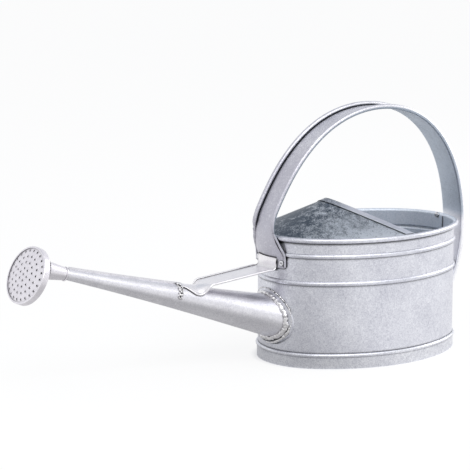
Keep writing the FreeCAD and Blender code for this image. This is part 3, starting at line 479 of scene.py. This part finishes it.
def flange_solder(lumps):
    """Solder round the spout's flange, thickest low down on the near side, where it ran."""
    chance = random.Random("flange")
    shape = bmesh.new()
    for lump in range(lumps):
        turn = math.tau * (lump + chance.uniform(-1, 1)) / lumps
        across = FLANGE_WIDE * math.cos(turn) + chance.uniform(-0.5, 0.5)
        point = Vector((-END_CENTRE - math.sqrt(WALL_FACE ** 2 - across ** 2), across,
                        SPOUT_HEIGHT + FLANGE_TALL * math.sin(turn)))
        ran = max(0.0, math.cos(turn - RAN_DOWN)) ** 6
        radius = chance.uniform(0.5, 1.2) + chance.uniform(0.2, 1.5) * ran
        bmesh.ops.create_icosphere(shape, subdivisions=2, radius=radius * MM,
                                   matrix=Matrix.Translation(point * MM))
    melted(shape, "flange_solder", FINE_GRAIN)


RIM_BACK, RIM_ROLL = 118.6, 143.9   # where the rim's roll runs at the back, mm
LAP_LUMPS = ((5.6, 1.7), (7.6, 2.7), (9.4, 1.7))   # place across the can, and radius


def rim_lap_solder():
    """The blob that closes the lap of the rolled rim, beside the back seam."""
    shape = bmesh.new()
    for across, radius in LAP_LUMPS:
        place = Matrix.Translation(Vector((RIM_BACK, across, RIM_ROLL)) * MM)
        bmesh.ops.create_icosphere(shape, subdivisions=3, radius=radius * MM, matrix=place)
    melted(shape, "rim_lap_solder", FINE_GRAIN)


lumpy_solder("spout_root_solder", "spout_solder", 520, (1.5, 2.5), 0.5)
lumpy_solder("strut_end_solder", "strut_solder", 260, (0.5, 0.9), 0.35)
flange_solder(260)
rim_lap_solder()


# ---------------------------------------------------------------- strap edges

FOOT_ROLLS = (111.5, 118, 125, 132, 139, 145, 149)  # heights along the foot's edge, mm
FOOT_BEHIND = -95       # the foot lies ahead of this, mm
EDGE_SEARCH = 4         # the edge is looked for this far above and below a height
ROLL_RADIUS, ROLL_TIP = 1.4, 0.9
ROLL_PROUD = 0.5        # how far the roll's middle stands off the edge


def foot_edge_roll(side, word):
    """The strap's rolled edge, hammered down where the foot lies on the wall."""
    name = f"foot_edge_{word}"
    front = [vert.co for vert in nodes["handle_strap"].data.vertices
             if vert.co.x < FOOT_BEHIND * MM]
    curve = bpy.data.curves.new(name, "CURVE")
    curve.dimensions = "3D"
    curve.bevel_depth = 1.0 * MM  # so that the points' radii are in mm
    curve.bevel_resolution = 4
    curve.use_fill_caps = True
    line = curve.splines.new("POLY")
    line.points.add(len(FOOT_ROLLS) - 1)
    for point, height in zip(line.points, FOOT_ROLLS):
        near = [co for co in front if abs(co.z - height * MM) < EDGE_SEARCH * MM]
        edge = max(near, key=lambda co: co.y * side)
        out = (edge - Vector((-END_CENTRE * MM, 0, edge.z))).normalized()
        radius = ROLL_TIP if height == FOOT_ROLLS[-1] else ROLL_RADIUS
        inwards = Vector((out.y * side, -out.x * side, 0)) * -side
        centre = edge + out * ROLL_PROUD * MM + inwards * radius * 0.5 * MM
        point.co = (centre.x, centre.y, height * MM, 1)
        point.radius = radius
    line.use_smooth = True
    roll = bpy.data.objects.new(name, curve)
    scene.collection.objects.link(roll)
    curve.materials.append(strap_steel)
    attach(roll, "can")


# ---------------------------------------------------------------- rose

SPOUT_ANGLE, ROSE_TURN, ROSE_TILT = 16.4, 43.7, 10.8    # degrees: up, round and forward
WALL_END = 120          # the wall's front from the can's middle, mm
SEAT_REACH = 260        # along the spout from the wall to the rose's seat
FACE_REACH, FACE_DROP = 39.3, 13.7      # from the seat to the face, along and across
HOLE_RINGS, RING_STEP, HOLE_RADIUS = (1, 6, 12, 18, 24), 6.6, 1.0
DOME_RADIUS, DOME_RISE = 122.0, 2.7     # of the slightly domed face
BURR_STEPS = 14


def rose_face_place():
    """The middle of the rose's face, with +Z out of it."""
    angle = math.radians(SPOUT_ANGLE)
    seat = Vector((-WALL_END - SEAT_REACH * math.cos(angle), 0,
                   SPOUT_HEIGHT + SEAT_REACH * math.sin(angle)))
    return (Matrix.Translation(seat * MM)
            @ Matrix.Rotation(math.radians(SPOUT_ANGLE - 90), 4, "Y")
            @ Matrix.Rotation(math.radians(-ROSE_TURN), 4, "Z")
            @ Matrix.Translation(Vector((-FACE_DROP, 0, FACE_REACH)) * MM)
            @ Matrix.Rotation(math.radians(ROSE_TILT), 4, "Y"))


def hole_burrs():
    """The lip that the punch raises round each hole of the face."""
    lip = [(HOLE_RADIUS, -0.25), (HOLE_RADIUS + 0.1, 0.3), (HOLE_RADIUS + 0.3, 0.32),
           (HOLE_RADIUS + 0.75, -0.1), (HOLE_RADIUS, -0.25)]
    face = rose_face_place()
    shape = bmesh.new()
    for ring, holes in enumerate(HOLE_RINGS):
        out = ring * RING_STEP
        rise = DOME_RISE - DOME_RADIUS + math.sqrt(DOME_RADIUS ** 2 - out ** 2)
        for hole in range(holes):
            place = (face @ Matrix.Rotation(math.tau * hole / holes, 4, "Z")
                     @ Matrix.Translation(Vector((out, 0, rise)) * MM)
                     @ Matrix.Rotation(math.asin(out / DOME_RADIUS), 4, "Y"))
            turned(shape, lip, place, BURR_STEPS)
    bmesh.ops.remove_doubles(shape, verts=shape.verts, dist=0.005 * MM)
    dressed("rose_hole_burrs", shape, rose_sheet, "rose")


foot_edge_roll(-1, "near")
foot_edge_roll(1, "far")
hole_burrs()


# ---------------------------------------------------------------- studio

# Directions in the room, with the cosines between which each part of it begins.
DOORWAY, DOORWAY_EDGE, DOORWAY_LIGHT = (-0.72, -0.69, 0.0), 0.70, 0.76
CEILING, CEILING_EDGE = (0.28, 0.46, 0.84), (0.78, 0.98)
# The floor, in metres. What the metal mirrors of it is shaded round a point under the spout.
FLOOR_HALF = 6.0
SHADE_MIDDLE, SHADE_REACH, SHADE_LIGHT = (-0.24, 0.0, 0.0), (0.08, 0.30), 0.50
FLOOR_GLOW = 0.85       # the rest of the floor takes shadows
CONTACT_REACH = 9       # CONTACT_REACH = 9 # how far the painted contact shadow under the foot reaches, mm


def darker_doorway(tree, direction):
    """The room's brightness in each level direction: a doorway to the front left is darker."""
    facing = add(tree, "ShaderNodeVectorMath",
                 {"operation": "DOT_PRODUCT", "Vector_001": DOORWAY},
                 {"Vector": direction})
    light = add(tree, "ShaderNodeMapRange",
                {"interpolation_type": "SMOOTHSTEP", "From Min": DOORWAY_EDGE, "From Max": 1.0,
                 "To Min": 1.0, "To Max": DOORWAY_LIGHT}, {"Value": (facing, "Value")})
    return light, "Result"


def make_floor():
    """A pale board, white to the eye. In the metal its glow holds a painted shadow under the spout,
    and painted shade towards the front left, where the room's doorway is darker."""
    half = FLOOR_HALF
    mesh = bpy.data.meshes.new("studio_floor")
    mesh.from_pydata([(-half, -half, 0), (half, -half, 0), (half, half, 0), (-half, half, 0)], [],
                     [(0, 1, 2, 3)])
    floor = bpy.data.objects.new("studio_floor", mesh)
    scene.collection.objects.link(floor)
    material, tree = new_material("pale_studio_floor")
    board = add(tree, "ShaderNodeBsdfDiffuse", {"Color": linear("#f4f4f5")})
    place = add(tree, "ShaderNodeTexCoord")
    outwards = add(tree, "ShaderNodeVectorMath", {"operation": "NORMALIZE"},
                   {"Vector": (place, "Object")})
    from_spout = add(tree, "ShaderNodeVectorMath",
                     {"operation": "DISTANCE", "Vector_001": SHADE_MIDDLE},
                     {"Vector": (place, "Object")})
    shaded = add(tree, "ShaderNodeMapRange",
                 {"interpolation_type": "SMOOTHSTEP", "From Min": SHADE_REACH[0],
                  "From Max": SHADE_REACH[1], "To Min": SHADE_LIGHT},
                 {"Value": (from_spout, "Value")})
    # The glow that the metal sees: a painted shadow under the spout and painted shade to the front
    # left.
    painted_floor_glow = add(tree, "ShaderNodeMath", {"operation": "MULTIPLY"},
                   {"Value": (shaded, "Result"),
                    "Value_001": darker_doorway(tree, (outwards, "Vector"))})
    path = add(tree, "ShaderNodeLightPath")
    strength = add(tree, "ShaderNodeMath", {"operation": "MAXIMUM"},
                   {"Value": (painted_floor_glow, "Value"), "Value_001": (path, "Is Camera Ray")})
    glow = add(tree, "ShaderNodeEmission", {"Color": linear("#ffffff")},
               {"Strength": (strength, "Value")})
    seen = add(tree, "ShaderNodeMath", {"operation": "MAXIMUM"},
               {"Value": (path, "Is Camera Ray"), "Value_001": (path, "Is Glossy Ray")})
    seen = add(tree, "ShaderNodeMath", {"operation": "MULTIPLY", "Value_001": FLOOR_GLOW},
               {"Value": (seen, "Value")})
    # Painted contact shadow: less glow where the foot covers the floor.
    under = add(tree, "ShaderNodeAmbientOcclusion",
                {"samples": COVER_SAMPLES, "Distance": CONTACT_REACH * MM})
    lit = add(tree, "ShaderNodeMath", {"operation": "MULTIPLY"},
              {"Value": (seen, "Value"), "Value_001": (under, "AO")})
    surface = add(tree, "ShaderNodeMixShader", {},
                  {"Fac": (lit, "Value"), "Shader": (board, "BSDF"), "Shader_001": (glow, "Emission")})
    add(tree, "ShaderNodeOutputMaterial", {}, {"Surface": (surface, "Shader")})
    mesh.materials.append(material)


def make_world():
    """A white room with a greyer ceiling high up behind the can."""
    world = bpy.data.worlds.new("studio_room")
    scene.world = world
    world.use_nodes = True
    tree = world.node_tree
    tree.nodes.clear()
    place = add(tree, "ShaderNodeTexCoord")
    towards_back = add(tree, "ShaderNodeVectorMath",
                       {"operation": "DOT_PRODUCT", "Vector_001": CEILING},
                       {"Vector": (place, "Generated")})
    dim = add(tree, "ShaderNodeMapRange",
              {"interpolation_type": "SMOOTHSTEP", "From Min": CEILING_EDGE[0],
               "From Max": CEILING_EDGE[1]},
              {"Value": (towards_back, "Value")})
    room = add(tree, "ShaderNodeMix", {"data_type": "RGBA", "A_Color": linear("#f6f7f9"),
                                       "B_Color": linear("#ccd1d9")},
               {"Factor_Float": (dim, "Result")})
    room = add(tree, "ShaderNodeMix",
               {"data_type": "RGBA", "blend_type": "MULTIPLY", "Factor_Float": 1.0},
               {"A_Color": (room, "Result_Color"),
                "B_Color": darker_doorway(tree, (place, "Generated"))})
    path = add(tree, "ShaderNodeLightPath")
    colour = add(tree, "ShaderNodeMix", {"data_type": "RGBA", "B_Color": linear("#ffffff")},
                 {"Factor_Float": (path, "Is Camera Ray"), "A_Color": (room, "Result_Color")})
    background = add(tree, "ShaderNodeBackground", {"Strength": 1.0},
                     {"Color": (colour, "Result_Color")})
    add(tree, "ShaderNodeOutputWorld", {}, {"Surface": (background, "Background")})


def area_lamp(name, place, aim, size, power):
    """A softbox in metres and watts, turned to its aim."""
    lamp = bpy.data.lights.new(name, "AREA")
    lamp.shape = "RECTANGLE"
    lamp.size, lamp.size_y = size
    lamp.energy = power
    holder = bpy.data.objects.new(name, lamp)
    holder.location = place
    holder.rotation_euler = (Vector(aim) - Vector(place)).to_track_quat("-Z", "Y").to_euler()
    scene.collection.objects.link(holder)


# The camera stands this far from its target, in mm, with azimuth and elevation in degrees.
CAMERA_TARGET, CAMERA_DISTANCE = (-161.92, 0.0, 147.67), 2180.24
CAMERA_AZIMUTH, CAMERA_ELEVATION = -31.34, 10.62
SENSOR_WIDTH, LENS_LENGTH = 36.0, 152.975


def make_camera():
    azimuth, elevation = math.radians(CAMERA_AZIMUTH), math.radians(CAMERA_ELEVATION)
    target = Vector(CAMERA_TARGET) * MM
    back = Vector((math.sin(azimuth) * math.cos(elevation),
                   -math.cos(azimuth) * math.cos(elevation), math.sin(elevation)))
    lens = bpy.data.cameras.new("camera")
    lens.sensor_width = SENSOR_WIDTH
    lens.lens = LENS_LENGTH
    lens.clip_start, lens.clip_end = 0.05, 50.0
    camera = bpy.data.objects.new("camera", lens)
    camera.location = target + back * (CAMERA_DISTANCE * MM)
    camera.rotation_mode = "QUATERNION"
    camera.rotation_quaternion = (-back).to_track_quat("-Z", "Y")
    scene.collection.objects.link(camera)
    scene.camera = camera


make_floor()
make_world()
area_lamp("top_softbox", (-0.35, -1.5, 1.7), (-0.1, 0, 0.1), (2.6, 1.1), 20)
area_lamp("right_softbox", (1.7, -0.25, 0.75), (0.0, 0, 0.1), (1.2, 0.9), 9)
make_camera()
scene.view_settings.view_transform = "Standard"
